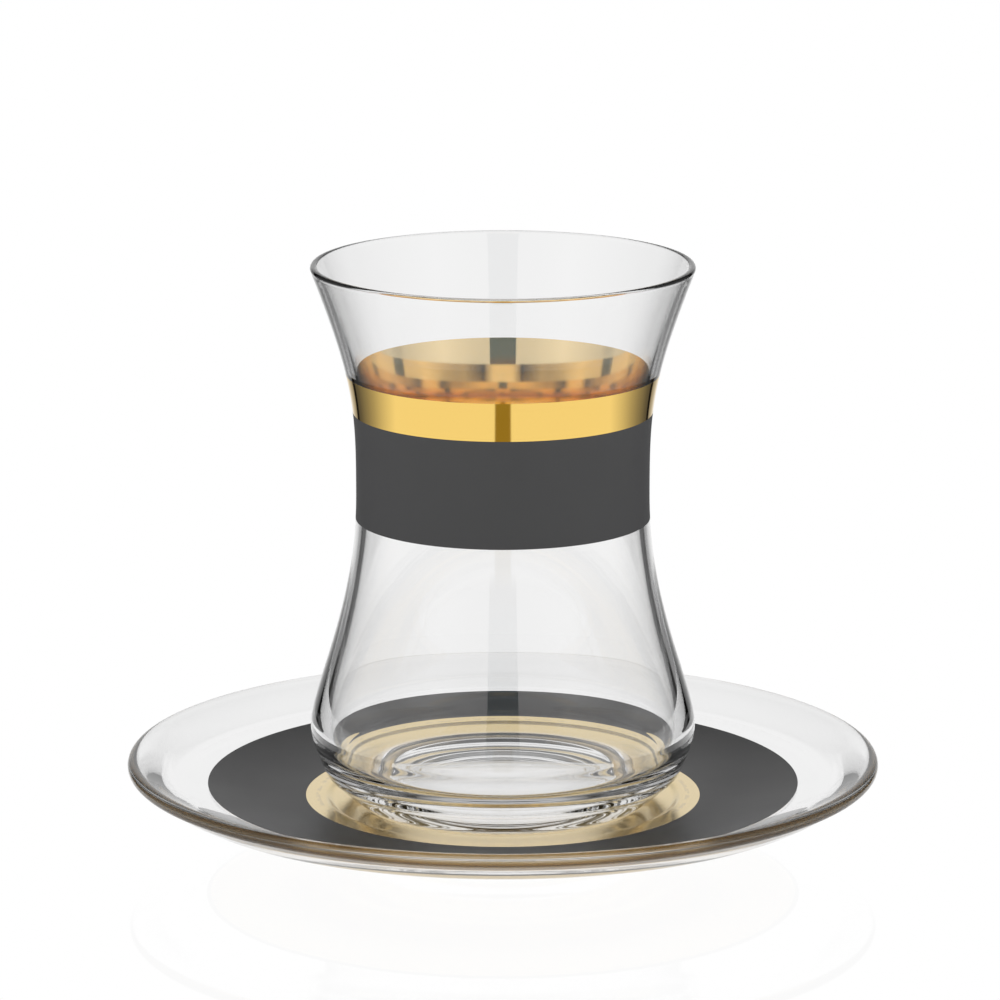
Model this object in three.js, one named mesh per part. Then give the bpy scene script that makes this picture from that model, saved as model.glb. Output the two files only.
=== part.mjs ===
// A Turkish tea glass on its saucer, in millimetres, +Z up.
// The saucer stands on the plane z = 0 and the glass stands in the saucer's shallow seat.
// Both are pressed clear glass, decorated with fired gold lustre and dark grey enamel.
import * as THREE from 'three';

// Saucer: radii from the axis, heights above the table
const SAUCER_RADIUS = 60;
const SAUCER_RIM_ROUND = 1.1;
const SAUCER_RIM_HEIGHT = 13.4;
const SAUCER_BEND_RADIUS = 53;
const SAUCER_BEND_HEIGHT = 8.8;
const SAUCER_SHOULDER_HEIGHT = 7.8;
const SAUCER_SHOULDER_RADIUS = 31;
const SAUCER_RISE = 0.00876;
const SEAT_RADIUS = 27;
const SEAT_EDGE_RADIUS = 28.6;
const SEAT_HEIGHT = 7.2;
const FOOT_RING_RADIUS = 22;
const FOOT_RING_WIDTH = 3;
const FOOT_RING_ROOT = 3.9;
const SAUCER_RECESS = 2.6;

// Tea glass: radii from the axis, heights above its own foot
const GLASS_FOOT_RADIUS = 22.5;
const GLASS_PUNT_RADIUS = 20;
const GLASS_PUNT_DEPTH = 1.5;
const GLASS_HEEL_RADIUS = 27.9;
const GLASS_HEEL_HEIGHT = 4.1;
const GLASS_BELLY_RADIUS = 30.7;
const GLASS_BELLY_HEIGHT = 11.7;
const GLASS_WAIST_RADIUS = 23.24;
const GLASS_WAIST_HEIGHT = 49.7;
const GLASS_RIM_RADIUS = 30.35;
const GLASS_HEIGHT = 86.7;
const GLASS_FLARE = THREE.MathUtils.degToRad(21);
const GLASS_RIM_ROUND = 0.55;

// Inside of the glass: the wall is even round the waist, thins out to the rim and thickens to the belly
const INSIDE_FLOOR_HEIGHT = 3.5;
const INSIDE_FLOOR_RADIUS = 21.5;
const WALL_AT_BELLY = 2.75;
const WALL_AT_WAIST = 1.75;
const WALL_THICKENS_BELOW = 38;
const WALL_THICKENING = 1.5;
const WALL_THINS_OVER = 40;

// Fired decoration: heights above the glass's foot, radii on the saucer
const GOLD_BAND_TOP = 69.3;
const GREY_BAND_TOP = 63.1;
const GREY_BAND_BOTTOM = 45.9;
const SAUCER_GOLD_INSIDE_RADIUS = 19;
const SAUCER_GOLD_RADIUS = 31.56;
const SAUCER_GREY_RADIUS = 47.22;
const COAT_THICKNESS = 0.12;
const COAT_CLEARANCE = 0.02;

// The glass's foot rests on the saucer's gold lustre
const GLASS_STAND = SEAT_HEIGHT + COAT_CLEARANCE + COAT_THICKNESS + 0.03;

const GLASS_FACETS = 48;
const SAUCER_FACETS = 60;

const clearGlass = new THREE.MeshStandardMaterial({
  color: 0xf2f5f4,
  roughness: 0.04,
  metalness: 0,
  transparent: true,
  opacity: 0.3,
});
const goldLustre = new THREE.MeshStandardMaterial({ color: 0xe3bd62, roughness: 0.16, metalness: 1 });
const greyEnamel = new THREE.MeshStandardMaterial({ color: 0x4c4c4d, roughness: 0.55, metalness: 0 });

const point = (radius, height) => new THREE.Vector2(radius, height);

// Turns a section of [radius, height] points about the Z axis into a named solid
function turned(name, section, facets, material) {
  const geometry = new THREE.LatheGeometry(section, facets);
  geometry.rotateX(Math.PI / 2);
  const mesh = new THREE.Mesh(geometry, material);
  mesh.name = name;
  return mesh;
}

// Points of a cubic curve from one place to another, leaving and arriving along its handles
function sweep(start, startHandle, endHandle, end, steps) {
  return new THREE.CubicBezierCurve(start, startHandle, endHandle, end).getPoints(steps);
}

// Radius of a rising curve at one height, by halving the interval
function radiusAt(curve, height) {
  let low = 0;
  let high = 1;
  while (high - low > 1e-6) {
    const middle = (low + high) / 2;
    if (curve.getPoint(middle).y < height) low = middle;
    else high = middle;
  }
  return curve.getPoint(low).x;
}

// The glass's outside, from the belly up through the waist to the rim
const belly = point(GLASS_BELLY_RADIUS, GLASS_BELLY_HEIGHT);
const waist = point(GLASS_WAIST_RADIUS, GLASS_WAIST_HEIGHT);
const rimRoundCentre = point(GLASS_RIM_RADIUS - GLASS_RIM_ROUND, GLASS_HEIGHT - GLASS_RIM_ROUND);
const outsideRim = point(GLASS_RIM_RADIUS - 0.06, rimRoundCentre.y - 0.3);
const flare = point(Math.sin(GLASS_FLARE), Math.cos(GLASS_FLARE)).multiplyScalar(19.6);
const bellyToWaist = new THREE.CubicBezierCurve(
  belly,
  point(belly.x, belly.y + 6.5),
  point(waist.x, waist.y - 18.4),
  waist,
);
const waistToRim = new THREE.CubicBezierCurve(
  waist,
  point(waist.x, waist.y + 13.3),
  outsideRim.clone().sub(flare),
  outsideRim,
);
const outsideRadius = (height) => radiusAt(height < waist.y ? bellyToWaist : waistToRim, height);

const insideBelly = point(GLASS_BELLY_RADIUS - WALL_AT_BELLY, GLASS_BELLY_HEIGHT + 1);

// Thickness of the glass's wall at a height
function wallThickness(height) {
  const left = Math.min(1, (outsideRim.y - height) / WALL_THINS_OVER);
  const thinned = 2 * GLASS_RIM_ROUND + (WALL_AT_WAIST - 2 * GLASS_RIM_ROUND) * left * (2 - left);
  const sunk = Math.max(0, (WALL_THICKENS_BELOW - height) / (WALL_THICKENS_BELOW - insideBelly.y));
  return thinned + (WALL_AT_BELLY - WALL_AT_WAIST) * sunk ** WALL_THICKENING;
}
const insideRadius = (height) => Math.min(insideBelly.x, outsideRadius(height) - wallThickness(height));

// Heights of the facets on the outside: evenly spread, with one on each edge of the bands
function facetHeights(bottom, top, steps) {
  return Array.from({ length: steps + 1 }, (_, i) => bottom + ((top - bottom) * i) / steps);
}
const goldBandHeights = facetHeights(GREY_BAND_TOP, GOLD_BAND_TOP, 2);
const greyBandHeights = facetHeights(GREY_BAND_BOTTOM, GREY_BAND_TOP, 4);
const outsideHeights = [
  ...facetHeights(GLASS_BELLY_HEIGHT, GREY_BAND_BOTTOM, 9),
  ...greyBandHeights.slice(1),
  ...goldBandHeights.slice(1),
  ...facetHeights(GOLD_BAND_TOP, outsideRim.y, 5).slice(1),
];

function makeGlass() {
  const foot = [
    point(0, GLASS_PUNT_DEPTH),
    point(GLASS_PUNT_RADIUS / 2, 0.75 * GLASS_PUNT_DEPTH),
    point(GLASS_PUNT_RADIUS + 0.2, 0.4),
    point(GLASS_PUNT_RADIUS + 1, 0),
  ];
  const underside = sweep(
    point(GLASS_FOOT_RADIUS, 0),
    point(GLASS_FOOT_RADIUS + 1.5, 0.3),
    point(GLASS_HEEL_RADIUS - 1, GLASS_HEEL_HEIGHT - 0.8),
    point(GLASS_HEEL_RADIUS, GLASS_HEEL_HEIGHT),
    4,
  );
  const heelToBelly = sweep(
    point(GLASS_HEEL_RADIUS, GLASS_HEEL_HEIGHT),
    point(GLASS_HEEL_RADIUS + 0.5, GLASS_HEEL_HEIGHT + 0.3),
    point(GLASS_BELLY_RADIUS, GLASS_BELLY_HEIGHT - 1.9),
    belly,
    4,
  );
  const outside = outsideHeights.map((height) => point(outsideRadius(height), height));
  const rim = Array.from({ length: 5 }, (_, i) => {
    const angle = (Math.PI * (i + 0.5)) / 5;
    const round = point(Math.cos(angle), Math.sin(angle)).multiplyScalar(GLASS_RIM_ROUND);
    return rimRoundCentre.clone().add(round);
  });
  const insideHeights = facetHeights(outsideRim.y, insideBelly.y, 15).slice(0, -1);
  const inside = insideHeights.map((height) => point(insideRadius(height), height));
  const bowl = sweep(
    insideBelly,
    point(insideBelly.x, insideBelly.y - 8),
    point(INSIDE_FLOOR_RADIUS, INSIDE_FLOOR_HEIGHT),
    point(0, INSIDE_FLOOR_HEIGHT),
    7,
  );
  const section = [
    ...foot,
    ...underside,
    ...heelToBelly.slice(1),
    ...outside.slice(1),
    ...rim,
    ...inside,
    ...bowl,
  ];
  return turned('tea_glass', section, GLASS_FACETS, clearGlass);
}

// A thin coat on the glass's outside, following the same facets
function makeBand(name, heights, material) {
  const coat = (offset) => heights.map((height) => point(outsideRadius(height) + offset, height));
  const back = coat(COAT_CLEARANCE);
  const face = coat(COAT_CLEARANCE + COAT_THICKNESS);
  return turned(name, [...face, ...back.reverse(), face[0]], GLASS_FACETS, material);
}

// Height of the saucer's upper surface at a radius
function saucerTop(radius) {
  if (radius <= SEAT_RADIUS) return SEAT_HEIGHT;
  if (radius <= SEAT_EDGE_RADIUS) {
    const share = (radius - SEAT_RADIUS) / (SEAT_EDGE_RADIUS - SEAT_RADIUS);
    return THREE.MathUtils.lerp(SEAT_HEIGHT, SAUCER_SHOULDER_HEIGHT, share);
  }
  const beyond = Math.max(0, radius - SAUCER_SHOULDER_RADIUS);
  return SAUCER_SHOULDER_HEIGHT + SAUCER_RISE * beyond * beyond;
}

const goldRadii = [SAUCER_GOLD_INSIDE_RADIUS, SEAT_RADIUS, SEAT_EDGE_RADIUS, SAUCER_GOLD_RADIUS];
const greyRadii = facetHeights(SAUCER_GOLD_RADIUS, SAUCER_GREY_RADIUS, 3);
const clearRadii = facetHeights(SAUCER_GREY_RADIUS, SAUCER_RADIUS - 1.4 * SAUCER_RIM_ROUND, 3).slice(1);

function makeSaucer() {
  const foot = [
    point(0, SAUCER_RECESS),
    point(FOOT_RING_RADIUS - FOOT_RING_WIDTH - 1, SAUCER_RECESS),
    point(FOOT_RING_RADIUS - FOOT_RING_WIDTH, 0),
    point(FOOT_RING_RADIUS - 0.4, 0),
    point(FOOT_RING_RADIUS, 0.4),
  ];
  const underside = sweep(
    point(FOOT_RING_RADIUS + 1.2, FOOT_RING_ROOT),
    point(FOOT_RING_RADIUS + 12, FOOT_RING_ROOT + 0.6),
    point(SAUCER_BEND_RADIUS - 7, SAUCER_BEND_HEIGHT - 2.2),
    point(SAUCER_BEND_RADIUS, SAUCER_BEND_HEIGHT),
    4,
  );
  const rim = Array.from({ length: 7 }, (_, i) => {
    const angle = THREE.MathUtils.degToRad(-60 + 30 * i);
    const round = point(Math.cos(angle), Math.sin(angle)).multiplyScalar(SAUCER_RIM_ROUND);
    return round.add(point(SAUCER_RADIUS - SAUCER_RIM_ROUND, SAUCER_RIM_HEIGHT));
  });
  const topRadii = [0, ...goldRadii, ...greyRadii.slice(1), ...clearRadii];
  const top = topRadii.map((radius) => point(radius, saucerTop(radius)));
  return turned('saucer', [...foot, ...underside, ...rim, ...top.reverse()], SAUCER_FACETS, clearGlass);
}

// A thin coat on the saucer's upper surface, following the same facets
function makeSaucerCoat(name, radii, material) {
  const coat = (offset) => radii.map((radius) => point(radius, saucerTop(radius) + offset));
  const back = coat(COAT_CLEARANCE);
  const face = coat(COAT_CLEARANCE + COAT_THICKNESS);
  return turned(name, [...back, ...face.reverse(), back[0]], SAUCER_FACETS, material);
}

const saucer = new THREE.Group();
saucer.add(makeSaucer());
saucer.add(makeSaucerCoat('saucer_gold_ring', goldRadii, goldLustre));
saucer.add(makeSaucerCoat('saucer_grey_ring', greyRadii, greyEnamel));

const glass = new THREE.Group();
glass.position.z = GLASS_STAND;
glass.add(makeGlass());
glass.add(makeBand('glass_gold_band', goldBandHeights, goldLustre));
glass.add(makeBand('glass_grey_band', greyBandHeights, greyEnamel));

const teaGlassOnSaucer = new THREE.Group();
teaGlassOnSaucer.add(saucer, glass);

export default teaGlassOnSaucer;
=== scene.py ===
"""A Turkish tea glass on its saucer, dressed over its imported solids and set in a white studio."""
import math

import bpy
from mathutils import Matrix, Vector


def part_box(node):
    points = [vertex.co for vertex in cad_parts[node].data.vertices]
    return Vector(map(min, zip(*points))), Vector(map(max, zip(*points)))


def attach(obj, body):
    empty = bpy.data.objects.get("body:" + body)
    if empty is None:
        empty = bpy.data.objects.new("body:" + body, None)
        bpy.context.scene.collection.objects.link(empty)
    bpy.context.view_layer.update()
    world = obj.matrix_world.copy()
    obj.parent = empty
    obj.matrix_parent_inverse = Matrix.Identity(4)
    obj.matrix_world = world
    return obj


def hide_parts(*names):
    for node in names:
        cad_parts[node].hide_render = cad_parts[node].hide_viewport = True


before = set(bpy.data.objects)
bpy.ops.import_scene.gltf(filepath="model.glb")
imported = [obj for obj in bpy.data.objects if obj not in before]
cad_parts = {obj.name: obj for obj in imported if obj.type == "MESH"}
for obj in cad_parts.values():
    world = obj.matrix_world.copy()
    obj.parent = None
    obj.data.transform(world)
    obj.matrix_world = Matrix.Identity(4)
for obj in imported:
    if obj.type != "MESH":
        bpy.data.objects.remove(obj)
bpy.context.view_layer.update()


# The saucer
# Pressed soda-lime glass: a shallow dish with a round bead at its rim, a flat seat for the glass,
# and a foot ring underneath. It is turned here from one section, as the mould that pressed it was.
MM = 0.001
TOUCHING = 0.001 * MM
CREASE = math.radians(50.0)

saucer_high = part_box("saucer")[1]
SAUCER_RADIUS = saucer_high.x
BEAD_ROUND = 1.1 * MM
BEAD_CENTRE = (SAUCER_RADIUS - BEAD_ROUND, saucer_high.z - BEAD_ROUND)
SAUCER_TOP_ENDS = SAUCER_RADIUS - 1.7 * BEAD_ROUND
SHOULDER_RADIUS = 31.0 * MM
SHOULDER_HEIGHT = 7.8 * MM
SAUCER_RISE = 0.00876 / MM
SEAT_RADIUS = 27.0 * MM
SEAT_EDGE_RADIUS = 28.6 * MM
SEAT_HEIGHT = 7.2 * MM
RECESS_RADIUS = 17.8 * MM
RECESS_HEIGHT = 2.6 * MM
FOOT_RING_INSIDE = 19.0 * MM
FOOT_RING_OUTSIDE = 22.0 * MM
FOOT_RING_ROUND = 0.4 * MM
UNDERSIDE_START = (22.3 * MM, 3.2 * MM)
UNDERSIDE_HANDLES = ((0.9 * MM, 0.7 * MM), (-7.0 * MM, -2.2 * MM))
SAUCER_BEND = (53.0 * MM, 8.8 * MM)
BEND_HANDLES = ((2.0 * MM, 0.8 * MM), (-2.0 * MM, -1.0 * MM))
SAUCER_SIDES = 288
SAUCER_STRIAE = (60.0, 60.0, 60.0)
STRIAE_DEPTH = 0.012


def arc(centre, radius, first, last, steps):
    """Points round a centre, from one angle to another in degrees."""
    angles = [math.radians(first + (last - first) * i / steps) for i in range(steps + 1)]
    return [(centre[0] + radius * math.cos(a), centre[1] + radius * math.sin(a)) for a in angles]


def sweep(start, handles, end, steps):
    """Points of a cubic curve. Its handles are the shifts of its inner corners from its two ends."""
    corners = (start, shifted(start, handles[0]), shifted(end, handles[1]), end)
    points = []
    for i in range(steps + 1):
        t = i / steps
        weights = ((1 - t) ** 3, 3 * (1 - t) ** 2 * t, 3 * (1 - t) * t**2, t**3)
        points.append(tuple(sum(w * c[k] for w, c in zip(weights, corners)) for k in (0, 1)))
    return points


def shifted(point, shift):
    """A point moved outwards and upwards."""
    return (point[0] + shift[0], point[1] + shift[1])


def spread(first, last, steps):
    """Evenly spaced numbers from first to last."""
    return [first + (last - first) * i / steps for i in range(steps + 1)]


class Wire:
    """An output of a node in a tree. Arithmetic on it adds the Math nodes that work it out."""

    def __init__(self, tree, output=None):
        self.tree, self.output = tree, output

    def add(self, kind, settings=None, values=None, give=0):
        """Adds a node: its settings first, then the values or links of its sockets."""
        node = self.tree.nodes.new(kind)
        for name, setting in (settings or {}).items():
            if name == "stops":
                for stop, (place, colour) in zip(self.stops_of(node, len(setting)), setting):
                    stop.position, stop.color = place, (*colour, 1.0)
            else:
                setattr(node, name, setting)
        for name, value in (values or {}).items():
            if isinstance(value, Wire):
                self.tree.links.new(value.output, node.inputs[name])
            else:
                node.inputs[name].default_value = value
        return Wire(self.tree, node.outputs[give] if len(node.outputs) else None)

    @staticmethod
    def stops_of(ramp, count):
        """The stops of a colour ramp, brought to a count."""
        stops = ramp.color_ramp.elements
        while len(stops) < count:
            stops.new(1.0)
        return stops

    def beside(self, name):
        """Another output of the same node."""
        return Wire(self.tree, self.output.node.outputs[name])

    def choose(self, first, second):
        """A mix of two colours: the first where this is 0, the second where it is 1."""
        return self.add("ShaderNodeMix", {"data_type": "RGBA"}, {0: self, 6: first, 7: second}, give=2)

    def tinted(self, *colour):
        """A colour of this strength: the one that is given, or else white."""
        parts = [self * part for part in colour] or [self] * 3
        return self.add("ShaderNodeCombineColor", values=dict(zip(("Red", "Green", "Blue"), parts)))

    def math(self, operation, *values):
        return self.add("ShaderNodeMath", {"operation": operation}, dict(enumerate(values)))

    def __add__(self, other):
        return self.math("ADD", self, other)

    def __sub__(self, other):
        return self.math("SUBTRACT", self, other)

    def __rsub__(self, other):
        return self.math("SUBTRACT", other, self)

    def __mul__(self, other):
        return self.math("MULTIPLY", self, other)

    def __truediv__(self, other):
        return self.math("DIVIDE", self, other)

    def __mod__(self, other):
        return self.math("MODULO", self, other)

    def __gt__(self, other):
        return self.math("GREATER_THAN", self, other)

    def __lt__(self, other):
        return self.math("LESS_THAN", self, other)

    def __abs__(self):
        return self.math("ABSOLUTE", self)

    __radd__, __rmul__ = __add__, __mul__


def turning_tree():
    """A tree that turns the points of a section about the Z axis into a closed, smooth mesh."""
    tree = bpy.data.node_groups.new("turning", "GeometryNodeTree")
    inputs = {"Section": "Geometry", "Sides": "Int", "Crease": "Float", "Finish": "Material"}
    for name, kind in inputs.items():
        tree.interface.new_socket(name=name, in_out="INPUT", socket_type="NodeSocket" + kind)
    tree.interface.new_socket(name="Piece", in_out="OUTPUT", socket_type="NodeSocketGeometry")
    start = Wire(tree)
    section = start.add("NodeGroupInput", give="Section")
    sides, crease, finish = section.beside("Sides"), section.beside("Crease"), section.beside("Finish")

    # A flat grid has a row of points for each side, and each point takes its place from the section
    count = start.add("GeometryNodeAttributeDomainSize", values={"Geometry": section})
    grid = start.add("GeometryNodeMeshGrid", values={"Vertices X": count, "Vertices Y": sides + 1})
    index = start.add("GeometryNodeInputIndex")
    side = index % (sides + 1)
    place = start.add("GeometryNodeInputPosition")
    from_section = {"Geometry": section, "Value": place, "Index": (index - side) / (sides + 1)}
    point = start.add("GeometryNodeSampleIndex", {"data_type": "FLOAT_VECTOR"}, from_section)
    radius = start.add("ShaderNodeSeparateXYZ", values={"Vector": point})

    # The sides go round clockwise, so that the faces of a section drawn up its outside look outwards
    angle = side * -math.tau / sides
    turned_place = {"X": radius * angle.math("COSINE", angle), "Y": radius * angle.math("SINE", angle)}
    turned_place["Z"] = radius.beside("Z")
    turned_place = start.add("ShaderNodeCombineXYZ", values=turned_place)
    piece = start.add("GeometryNodeSetPosition", values={"Geometry": grid, "Position": turned_place})
    piece = start.add("GeometryNodeMergeByDistance", values={"Geometry": piece, "Distance": TOUCHING})

    smooth = {"Geometry": piece, "Shade Smooth": True}
    piece = start.add("GeometryNodeSetShadeSmooth", {"domain": "FACE"}, smooth)
    bend = start.add("GeometryNodeInputMeshEdgeAngle")
    creased = {"Geometry": piece, "Selection": bend > crease, "Shade Smooth": False}
    piece = start.add("GeometryNodeSetShadeSmooth", {"domain": "EDGE"}, creased)
    piece = start.add("GeometryNodeSetMaterial", values={"Geometry": piece, "Material": finish})
    piece = start.add("GeometryNodeRealizeInstances", values={"Geometry": piece})
    start.add("NodeGroupOutput", values={"Piece": piece})
    return tree


TURNING = turning_tree()


def turned(name, section, sides, finish):
    """A piece turned from a section of (radius, height) points, as a plain mesh."""
    blank = bpy.data.meshes.new(name)
    blank.from_pydata([(radius, 0.0, height) for radius, height in section], [], [])
    piece = bpy.data.objects.new(name, blank)
    bpy.context.scene.collection.objects.link(piece)
    turning = piece.modifiers.new("turning", "NODES")
    turning.node_group = TURNING
    given = {"Sides": sides, "Crease": CREASE, "Finish": finish}
    for socket in TURNING.interface.items_tree:
        if socket.name in given:
            turning[socket.identifier] = given[socket.name]
    evaluated = piece.evaluated_get(bpy.context.evaluated_depsgraph_get())
    mesh = bpy.data.meshes.new_from_object(evaluated)
    piece.modifiers.clear()
    piece.data = mesh
    bpy.data.meshes.remove(blank)
    mesh.name = name
    return piece


def new_finish(name):
    """An empty material, and a start for the wires of its tree."""
    finish = bpy.data.materials.new(name)
    finish.use_nodes = True
    finish.node_tree.nodes.clear()
    return finish, Wire(finish.node_tree)


def show(start, kind, surface):
    """Adds a shader with the values of its surface, and joins it to the output of its tree."""
    start.add("ShaderNodeOutputMaterial", values={"Surface": start.add(kind, values=surface)})


def noise(start, scale, detail):
    """Soft noise on the piece's own coordinates, with so many waves a metre along each axis."""
    place = start.add("ShaderNodeTexCoord", give="Object")
    place = start.add("ShaderNodeVectorMath", {"operation": "MULTIPLY"}, {0: place, 1: scale})
    return start.add("ShaderNodeTexNoise", values={"Vector": place, "Scale": 1.0, "Detail": detail})


def clear_glass(name, striae):
    """Fire-polished glass, with the faint striae that the melt leaves in it."""
    finish, start = new_finish(name)
    clear = noise(start, striae, 2.0) * STRIAE_DEPTH + (1 - STRIAE_DEPTH)
    surface = {"Base Color": clear.tinted(), "Roughness": 0.0, "IOR": 1.52, "Transmission Weight": 1.0}
    show(start, "ShaderNodeBsdfPrincipled", surface)
    return finish


def saucer_top(radius):
    """Height of the saucer's upper surface at a radius."""
    if radius <= SEAT_RADIUS:
        return SEAT_HEIGHT
    if radius <= SEAT_EDGE_RADIUS:
        share = (radius - SEAT_RADIUS) / (SEAT_EDGE_RADIUS - SEAT_RADIUS)
        return SEAT_HEIGHT + (SHOULDER_HEIGHT - SEAT_HEIGHT) * share**2 * (3 - 2 * share)
    return SHOULDER_HEIGHT + SAUCER_RISE * max(0.0, radius - SHOULDER_RADIUS) ** 2


def top_radii(first, last):
    """Radii of the saucer's upper surface between two edges, close together over the seat's step."""
    inside = spread(0.0, SEAT_RADIUS, 6) + spread(SEAT_RADIUS, SEAT_EDGE_RADIUS, 10)[1:]
    inside += spread(SEAT_EDGE_RADIUS, SAUCER_RADIUS, 48)[1:]
    return [first] + [radius for radius in inside if first < radius < last] + [last]


bead = arc(BEAD_CENTRE, BEAD_ROUND, -60, 115, steps=20)
saucer_section = [
    (0.0, RECESS_HEIGHT),
    (RECESS_RADIUS, RECESS_HEIGHT),
    *arc((FOOT_RING_INSIDE + FOOT_RING_ROUND, FOOT_RING_ROUND), FOOT_RING_ROUND, 180, 270, steps=5),
    *arc((FOOT_RING_OUTSIDE - FOOT_RING_ROUND, FOOT_RING_ROUND), FOOT_RING_ROUND, 270, 360, steps=5),
    *sweep(UNDERSIDE_START, UNDERSIDE_HANDLES, SAUCER_BEND, steps=28),
    *sweep(SAUCER_BEND, BEND_HANDLES, bead[0], steps=10)[1:-1],
    *bead,
    *[(radius, saucer_top(radius)) for radius in reversed(top_radii(0.0, SAUCER_TOP_ENDS))],
]

saucer = turned("saucer", saucer_section, SAUCER_SIDES, clear_glass("saucer_glass", SAUCER_STRIAE))
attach(saucer, "root")
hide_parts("saucer")


# The saucer's gold ring
# A lustre of real gold, brushed thinly round the seat while the saucer turned, and fired. The middle
# of the seat is left clear. The gold runs on under the grey, and shows from below at the rim.
COAT = 0.03 * MM
GOLD_LAYER = (0.6 * COAT, COAT)
SAUCER_GOLD_INSIDE = 19.0 * MM
SAUCER_GOLD_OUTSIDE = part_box("saucer_gold_ring")[1].x
GOLD_UNDER_GREY = 15.0 * MM
SAUCER_GOLD_COLOURS = ((0.84, 0.67, 0.36), (0.74, 0.59, 0.34))
SAUCER_GOLD_ROUGH = 0.17
SAUCER_STROKES = (300.0, 300.0, 300.0)
STROKE_ROUGH = 0.04


def saucer_coat(name, first, last, layer, finish):
    """A thin coat between two radii: how far it stands on the saucer's upper surface and bites into it."""
    radii = top_radii(first, last)
    lift, depth = layer
    face = [(radius, saucer_top(radius) + lift) for radius in radii]
    back = [(radius, saucer_top(radius) - depth) for radius in radii]
    return turned(name, back + face[::-1] + back[:1], SAUCER_SIDES, finish)


def gold_lustre(name, colours, rough, stroke_scale):
    """Bright fired gold, uneven along the brush's strokes: one colour towards the axis, one away from it."""
    finish, start = new_finish(name)
    strokes = noise(start, stroke_scale, 3.0)
    place = start.add("ShaderNodeTexCoord", give="Object")
    outwards = start.add("ShaderNodeVectorMath", {"operation": "MULTIPLY"}, {0: place, 1: (1.0, 1.0, 0.0)})
    normal = start.add("ShaderNodeNewGeometry", give="Normal")
    dot = {"operation": "DOT_PRODUCT"}
    facing = start.add("ShaderNodeVectorMath", dot, {0: outwards, 1: normal}, give="Value")
    towards, away = ((*colour, 1.0) for colour in colours)
    colour = (facing > 0.0).choose(towards, away)
    surface = {"Base Color": colour, "Metallic": 1.0, "Roughness": strokes * STROKE_ROUGH + rough}
    show(start, "ShaderNodeBsdfPrincipled", surface)
    return finish


saucer_gold = saucer_coat(
    "saucer_gold_ring",
    SAUCER_GOLD_INSIDE,
    SAUCER_GOLD_OUTSIDE + GOLD_UNDER_GREY,
    GOLD_LAYER,
    gold_lustre("saucer_gold", SAUCER_GOLD_COLOURS, SAUCER_GOLD_ROUGH, SAUCER_STROKES),
)
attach(saucer_gold, "root")
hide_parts("saucer_gold_ring")


# The saucer's grey ring
# Satin enamel, printed round the gold on the upper surface and fired. It stands higher than the gold
# and bites less deep, so the grey hides the gold from above and the gold hides the grey from below.
GREY_LAYER = (COAT, 0.4 * COAT)
SAUCER_GREY_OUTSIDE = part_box("saucer_grey_ring")[1].x
SAUCER_GREY_COLOUR = (0.036, 0.036, 0.037)
SAUCER_GREY_ROUGH = 0.40
SAUCER_GREY_SHINE = 0.30
PRINT_GRAIN = (4000.0, 4000.0, 4000.0)
PRINT_CLOUDS = (90.0, 90.0, 90.0)
GRAIN_DEPTH = 0.06
CLOUD_DEPTH = 0.10
CLOUD_ROUGH = 0.06
GRAIN_BUMP = {"Strength": 0.05, "Distance": 0.02 * MM}


def grey_enamel(name, colour, rough, shine):
    """Satin grey enamel with the fine grain and faint clouds of its print."""
    finish, start = new_finish(name)
    grain = noise(start, PRINT_GRAIN, 2.0)
    clouds = noise(start, PRINT_CLOUDS, 3.0)
    level = clouds * CLOUD_DEPTH + grain * GRAIN_DEPTH + (1 - (CLOUD_DEPTH + GRAIN_DEPTH) / 2)
    surface = {
        "Base Color": level.tinted(*colour),
        "Roughness": clouds * CLOUD_ROUGH + rough,
        "Specular IOR Level": shine,
        "Normal": start.add("ShaderNodeBump", values={"Height": grain, **GRAIN_BUMP}),
    }
    show(start, "ShaderNodeBsdfPrincipled", surface)
    return finish


saucer_grey = saucer_coat(
    "saucer_grey_ring",
    SAUCER_GOLD_OUTSIDE,
    SAUCER_GREY_OUTSIDE,
    GREY_LAYER,
    grey_enamel("saucer_grey", SAUCER_GREY_COLOUR, SAUCER_GREY_ROUGH, SAUCER_GREY_SHINE),
)
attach(saucer_grey, "root")
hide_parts("saucer_grey_ring")


# The tea glass
# Pressed and blown clear glass: a waisted wall that flares to a fire-polished rim, over a heavy base
# that rests on a low ring. The inside is a smooth bowl, drawn to its own thickness all the way up.
glass_low, glass_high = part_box("tea_glass")
GLASS_STAND = glass_low.z
PUNT_RADIUS = 20.0 * MM
PUNT_DEPTH = 1.5 * MM
PUNT_STEPS = 24
FOOT_ROUND = 1.0 * MM
FOOT = (22.5 * MM, GLASS_STAND)
FOOT_HANDLES = ((1.5 * MM, 0.3 * MM), (-1.0 * MM, -0.8 * MM))
HEEL = (27.9 * MM, GLASS_STAND + 4.1 * MM)
HEEL_HANDLES = ((0.5 * MM, 0.3 * MM), (0.0, -1.93 * MM))
BELLY = (glass_high.x, GLASS_STAND + 11.7 * MM)
BELLY_HANDLES = ((0.0, 6.5 * MM), (0.0, -18.4 * MM))
WAIST = (23.24 * MM, GLASS_STAND + 49.7 * MM)
FLARE = math.radians(21.0)
FLARE_HANDLE = 19.6 * MM
WAIST_HANDLES = ((0.0, 13.3 * MM), (-FLARE_HANDLE * math.sin(FLARE), -FLARE_HANDLE * math.cos(FLARE)))
RIM_RADIUS = 30.35 * MM
RIM_ROUND = 0.55 * MM
RIM_CENTRE = (RIM_RADIUS - RIM_ROUND, glass_high.z - RIM_ROUND)
WALL_TOP = (RIM_RADIUS - 0.06 * MM, RIM_CENTRE[1] - 0.3 * MM)
WALL_AT_WAIST = 1.75 * MM
WALL_AT_BELLY = 2.75 * MM
THICKENS_BELOW = GLASS_STAND + 38.0 * MM
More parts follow.
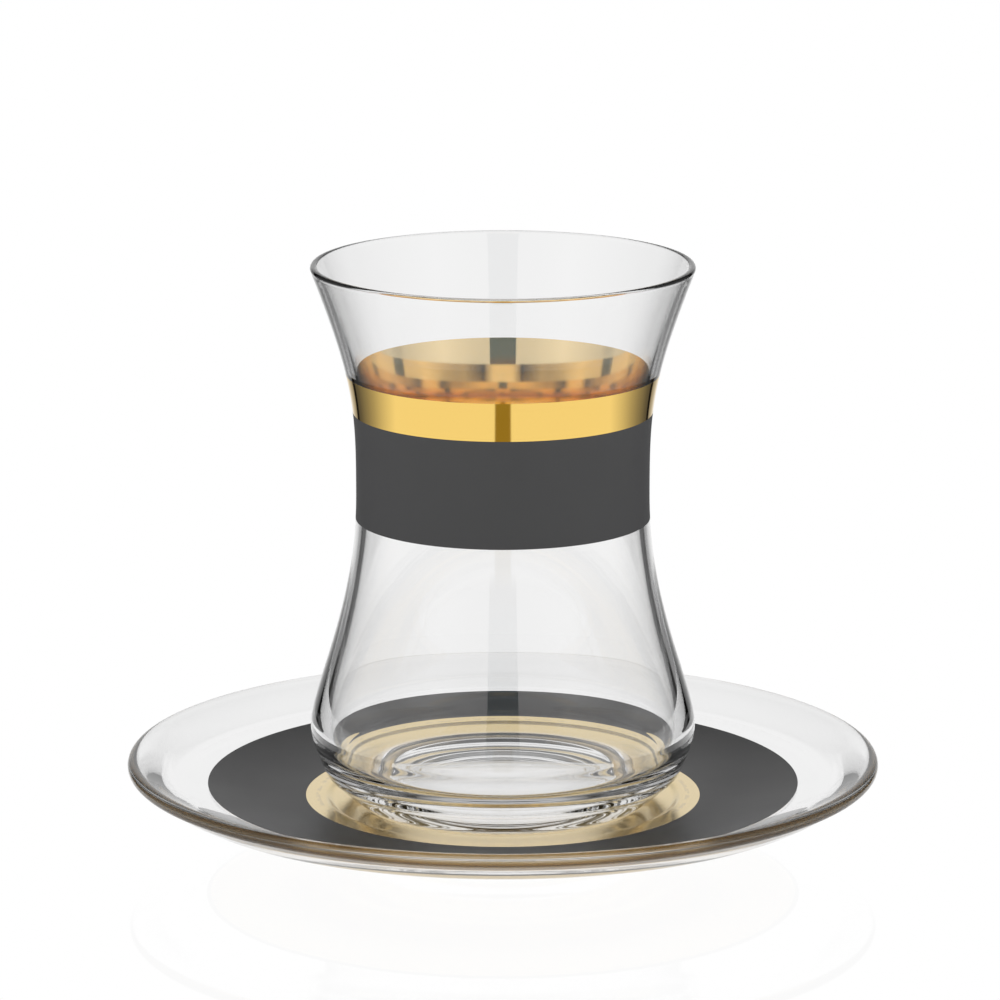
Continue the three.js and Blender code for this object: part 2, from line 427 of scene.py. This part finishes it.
THICKENING = 1.5
THINS_OVER = 40.0 * MM
INSIDE_BELLY = (BELLY[0] - WALL_AT_BELLY, BELLY[1] + 1.0 * MM)
FLOOR_CENTRE = (0.0, GLASS_STAND + 3.5 * MM)
FLOOR_HANDLES = ((0.0, -8.0 * MM), (21.5 * MM, 0.0))
GLASS_SIDES = 288
GLASS_STRIAE = (60.0, 60.0, 12.0)


def wall_thickness(height):
    """The glass is thickest at the belly, even round the waist, and thins out towards the rim."""
    sunk = max(0.0, (THICKENS_BELOW - height) / (THICKENS_BELOW - INSIDE_BELLY[1]))
    left = min(1.0, (WALL_TOP[1] - height) / THINS_OVER)
    thickening = (WALL_AT_BELLY - WALL_AT_WAIST) * sunk**THICKENING
    return 2 * RIM_ROUND + (WALL_AT_WAIST - 2 * RIM_ROUND) * left * (2 - left) + thickening


outside_wall = sweep(BELLY, BELLY_HANDLES, WAIST, steps=44)
outside_wall += sweep(WAIST, WAIST_HANDLES, WALL_TOP, steps=44)[1:]
inside_wall = [(radius - wall_thickness(height), height) for radius, height in outside_wall]
inside_wall = [point for point in inside_wall if point[1] > INSIDE_BELLY[1] + 0.2 * MM]
punt_shares = [i / PUNT_STEPS for i in range(PUNT_STEPS)]
foot_centre = (PUNT_RADIUS + FOOT_ROUND, GLASS_STAND + FOOT_ROUND)
glass_section = [
    *[(PUNT_RADIUS * share, GLASS_STAND + PUNT_DEPTH * (1 - share**2)) for share in punt_shares],
    *arc(foot_centre, FOOT_ROUND, 215, 270, steps=4),
    *sweep(FOOT, FOOT_HANDLES, HEEL, steps=20),
    *sweep(HEEL, HEEL_HANDLES, BELLY, steps=20)[1:],
    *outside_wall[1:],
    *arc(RIM_CENTRE, RIM_ROUND, -10, 190, steps=14),
    *inside_wall[::-1],
    *sweep(INSIDE_BELLY, FLOOR_HANDLES, FLOOR_CENTRE, steps=40)[1:],
]

tea_glass = turned("tea_glass", glass_section, GLASS_SIDES, clear_glass("tea_glass_glass", GLASS_STRIAE))
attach(tea_glass, "root")
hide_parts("tea_glass")


# The glass's gold band
# The same gold, brushed round the flare of the glass. It runs on below the edge of the grey band,
# which is printed over it, and shows there on the inside of the far wall.
gold_low, gold_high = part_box("glass_gold_band")
GREY_BAND_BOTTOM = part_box("glass_grey_band")[0].z
GOLD_BAND_BOTTOM = GREY_BAND_BOTTOM + 0.5 * MM
BAND_GOLD_COLOURS = ((0.97, 0.76, 0.42), (0.92, 0.63, 0.178))
BAND_GOLD_ROUGH = 0.03
BAND_STROKES = (40.0, 40.0, 900.0)


def outside_radius(height):
    """Radius of the glass's outside at a height on its wall."""
    for (radius, low), (next_radius, high) in zip(outside_wall, outside_wall[1:]):
        if low <= height <= high:
            return radius + (next_radius - radius) * (height - low) / (high - low)
    raise ValueError("the height is not on the wall")


def glass_coat(name, bottom, top, layer, finish):
    """A thin coat between two heights: how far it stands on the glass's outside and bites into it."""
    heights = spread(bottom, top, 24)
    lift, depth = layer
    face = [(outside_radius(height) + lift, height) for height in heights]
    back = [(outside_radius(height) - depth, height) for height in reversed(heights)]
    return turned(name, face + back + face[:1], GLASS_SIDES, finish)


gold_band = glass_coat(
    "glass_gold_band",
    GOLD_BAND_BOTTOM,
    gold_high.z,
    GOLD_LAYER,
    gold_lustre("band_gold", BAND_GOLD_COLOURS, BAND_GOLD_ROUGH, BAND_STROKES),
)
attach(gold_band, "root")
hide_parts("glass_gold_band")


# The glass's grey band
# The same satin enamel as the ring, printed round the waist over the lower part of the gold.
BAND_GREY_COLOUR = (0.078, 0.078, 0.080)
BAND_GREY_ROUGH = 0.55
BAND_GREY_SHINE = 0.20

grey_band = glass_coat(
    "glass_grey_band",
    GREY_BAND_BOTTOM,
    gold_low.z,
    GREY_LAYER,
    grey_enamel("band_grey", BAND_GREY_COLOUR, BAND_GREY_ROUGH, BAND_GREY_SHINE),
)
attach(grey_band, "root")
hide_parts("glass_grey_band")


# The studio
# A light table of glossy white acrylic under the saucer, in a tent with soft boxes at both sides. The
# camera looks in through a dark gap in front, and black flags stand beside the white backdrop.
WHITE = (1.0, 1.0, 1.0, 1.0)
BLACK = (0.0, 0.0, 0.0, 1.0)
PAGE = 1.0
BACKDROP = 0.9
SKY = 0.85
TABLE_REACH = 120.0 * MM
TABLE_GLOSS = 0.05
TABLE_ROUGH = 0.02
TABLE_SIDES = 96

light_table = bpy.data.objects.new("light_table", bpy.data.meshes.new("light_table"))
edge = [(x, y, 0.0) for x, y in arc((0.0, 0.0), TABLE_REACH, 0, 360, TABLE_SIDES)[:-1]]
light_table.data.from_pydata(edge, [], [tuple(range(TABLE_SIDES))])
bpy.context.scene.collection.objects.link(light_table)
acrylic, start = new_finish("acrylic")
seen = start.add("ShaderNodeLightPath", give="Is Camera Ray")
level = seen * ((PAGE - TABLE_GLOSS * SKY) / (1 - TABLE_GLOSS) - BACKDROP) + BACKDROP
lit = start.add("ShaderNodeEmission", values={"Color": WHITE, "Strength": level})
mirror = start.add("ShaderNodeBsdfGlossy", values={"Color": WHITE, "Roughness": TABLE_ROUGH})
show(start, "ShaderNodeMixShader", {0: TABLE_GLOSS, 1: lit, 2: mirror})
light_table.data.materials.append(acrylic)

# The tent's light by the bearing from the front, in degrees, the same at both sides. Below the horizon
# there are a brown slit at the camera and the white sides, and above it the dimmer sky.
SLIT = (0.32, 0.25, 0.07)
FLAGS = ((106, 0.72), (118, 0.45), (127, 0.30), (141, 0.13), (146, 0.10), (147, 0.01), (151, 0.01))
BELOW = ((0, SLIT), (6, SLIT), (6.6, 1.0), (93, 1.0), *FLAGS, (153, 0.35), (162, 0.6), (168, BACKDROP))
ABOVE = ((0, 0.7), (25, 0.75), (48, 0.9), (93, 0.5), (106, 0.4), *FLAGS[1:], (153, 0.25), (165, SKY))
HORIZON_FROM, HORIZON_TO = math.radians(-1.5), math.radians(3.0)
WINDOW_SIDE, WINDOW_TOP = math.radians(10.3), math.radians(35.0)
WINDOW_SILL = math.radians(6.0)
WINDOW_BROWN = (0.022, 0.015, 0.011, 1.0)
WINDOW_TEAL = (0.02, 0.06, 0.08, 1.0)
CEILING_FROM, CEILING_TO = math.radians(50.0), math.radians(65.0)
CEILING_SHADE = 0.8
LIFTED_ABOVE = math.radians(8.0)


def by_bearing(bearing, stops):
    """The light of a list of (degrees, level or colour) at a bearing."""
    colours = [level if isinstance(level, tuple) else (level,) * 3 for degrees, level in stops]
    stops = [(degrees / 180.0, colour) for (degrees, level), colour in zip(stops, colours)]
    return bearing.add("ShaderNodeValToRGB", {"stops": stops}, {"Fac": bearing / math.pi})


def ramp(value, first, last, top=1.0, **settings):
    """A level that rises from 0 to its top as a value goes from first to last."""
    limits = {"Value": value, "From Min": first, "From Max": last, "To Max": top}
    return value.add("ShaderNodeMapRange", settings, limits)


tent = bpy.data.worlds.new("tent")
bpy.context.scene.world = tent
tent.use_nodes = True
tent.node_tree.nodes.clear()
start = Wire(tent.node_tree)
towards = start.add("ShaderNodeTexCoord")
towards = start.add("ShaderNodeSeparateXYZ", values={"Vector": towards})
bearing = abs(towards.math("ARCTAN2", towards, towards.beside("Y") * -1.0))
rise = towards.math("ARCSINE", towards.beside("Z"))

window = (bearing < WINDOW_SIDE) * (rise < WINDOW_TOP)
sky = window.choose(by_bearing(bearing, ABOVE), (rise > WINDOW_SILL).choose(WINDOW_BROWN, WINDOW_TEAL))
ceiling = ramp(rise, CEILING_FROM, CEILING_TO, CEILING_SHADE, interpolation_type="SMOOTHSTEP")
horizon = ramp(rise, HORIZON_FROM, HORIZON_TO)
around = horizon.choose(by_bearing(bearing, BELOW), ceiling.choose(sky, BLACK))

# Straight through the glass the plain backdrop shows. What is mirrored comes from the tent, and so does
# what the glass bends well above the horizon.
seen = start.add("ShaderNodeLightPath", give="Is Camera Ray")
bounced = (seen.beside("Diffuse Depth") + seen.beside("Glossy Depth")) > 0.5
lifted = (seen.beside("Transmission Depth") > 0.5) * (rise > LIFTED_ABOVE)
page = (seen * (PAGE - BACKDROP) + BACKDROP).tinted()
light = bounced.math("MAXIMUM", bounced, lifted).choose(page, around)
light = start.add("ShaderNodeBackground", values={"Color": light})
start.add("ShaderNodeOutputWorld", values={"Surface": light})

CAMERA_DISTANCE = 957.5 * MM
CAMERA_PITCH = 0.22106
CAMERA_AIM = 55.96 * MM
CAMERA_LENS = 217.26
CAMERA_SENSOR = 36.0
CAMERA_SHIFT = -0.00287
CAMERA_NEAR = 10.0 * MM
GLASS_BOUNCES = 24
MIRROR_BOUNCES = 12

lens = bpy.data.cameras.new("camera")
lens.sensor_width = CAMERA_SENSOR
lens.lens = CAMERA_LENS
lens.shift_x = CAMERA_SHIFT
lens.clip_start = CAMERA_NEAR
camera = bpy.data.objects.new("camera", lens)
bpy.context.scene.collection.objects.link(camera)
away = Vector((0.0, -math.cos(CAMERA_PITCH), math.sin(CAMERA_PITCH))) * CAMERA_DISTANCE
camera.location = Vector((0.0, 0.0, CAMERA_AIM)) + away
camera.rotation_euler = (math.pi / 2 - CAMERA_PITCH, 0.0, 0.0)

bpy.context.scene.camera = camera

scene = bpy.context.scene
scene.view_settings.view_transform = "Standard"
scene.cycles.max_bounces = GLASS_BOUNCES
scene.cycles.transmission_bounces = GLASS_BOUNCES
scene.cycles.glossy_bounces = MIRROR_BOUNCES
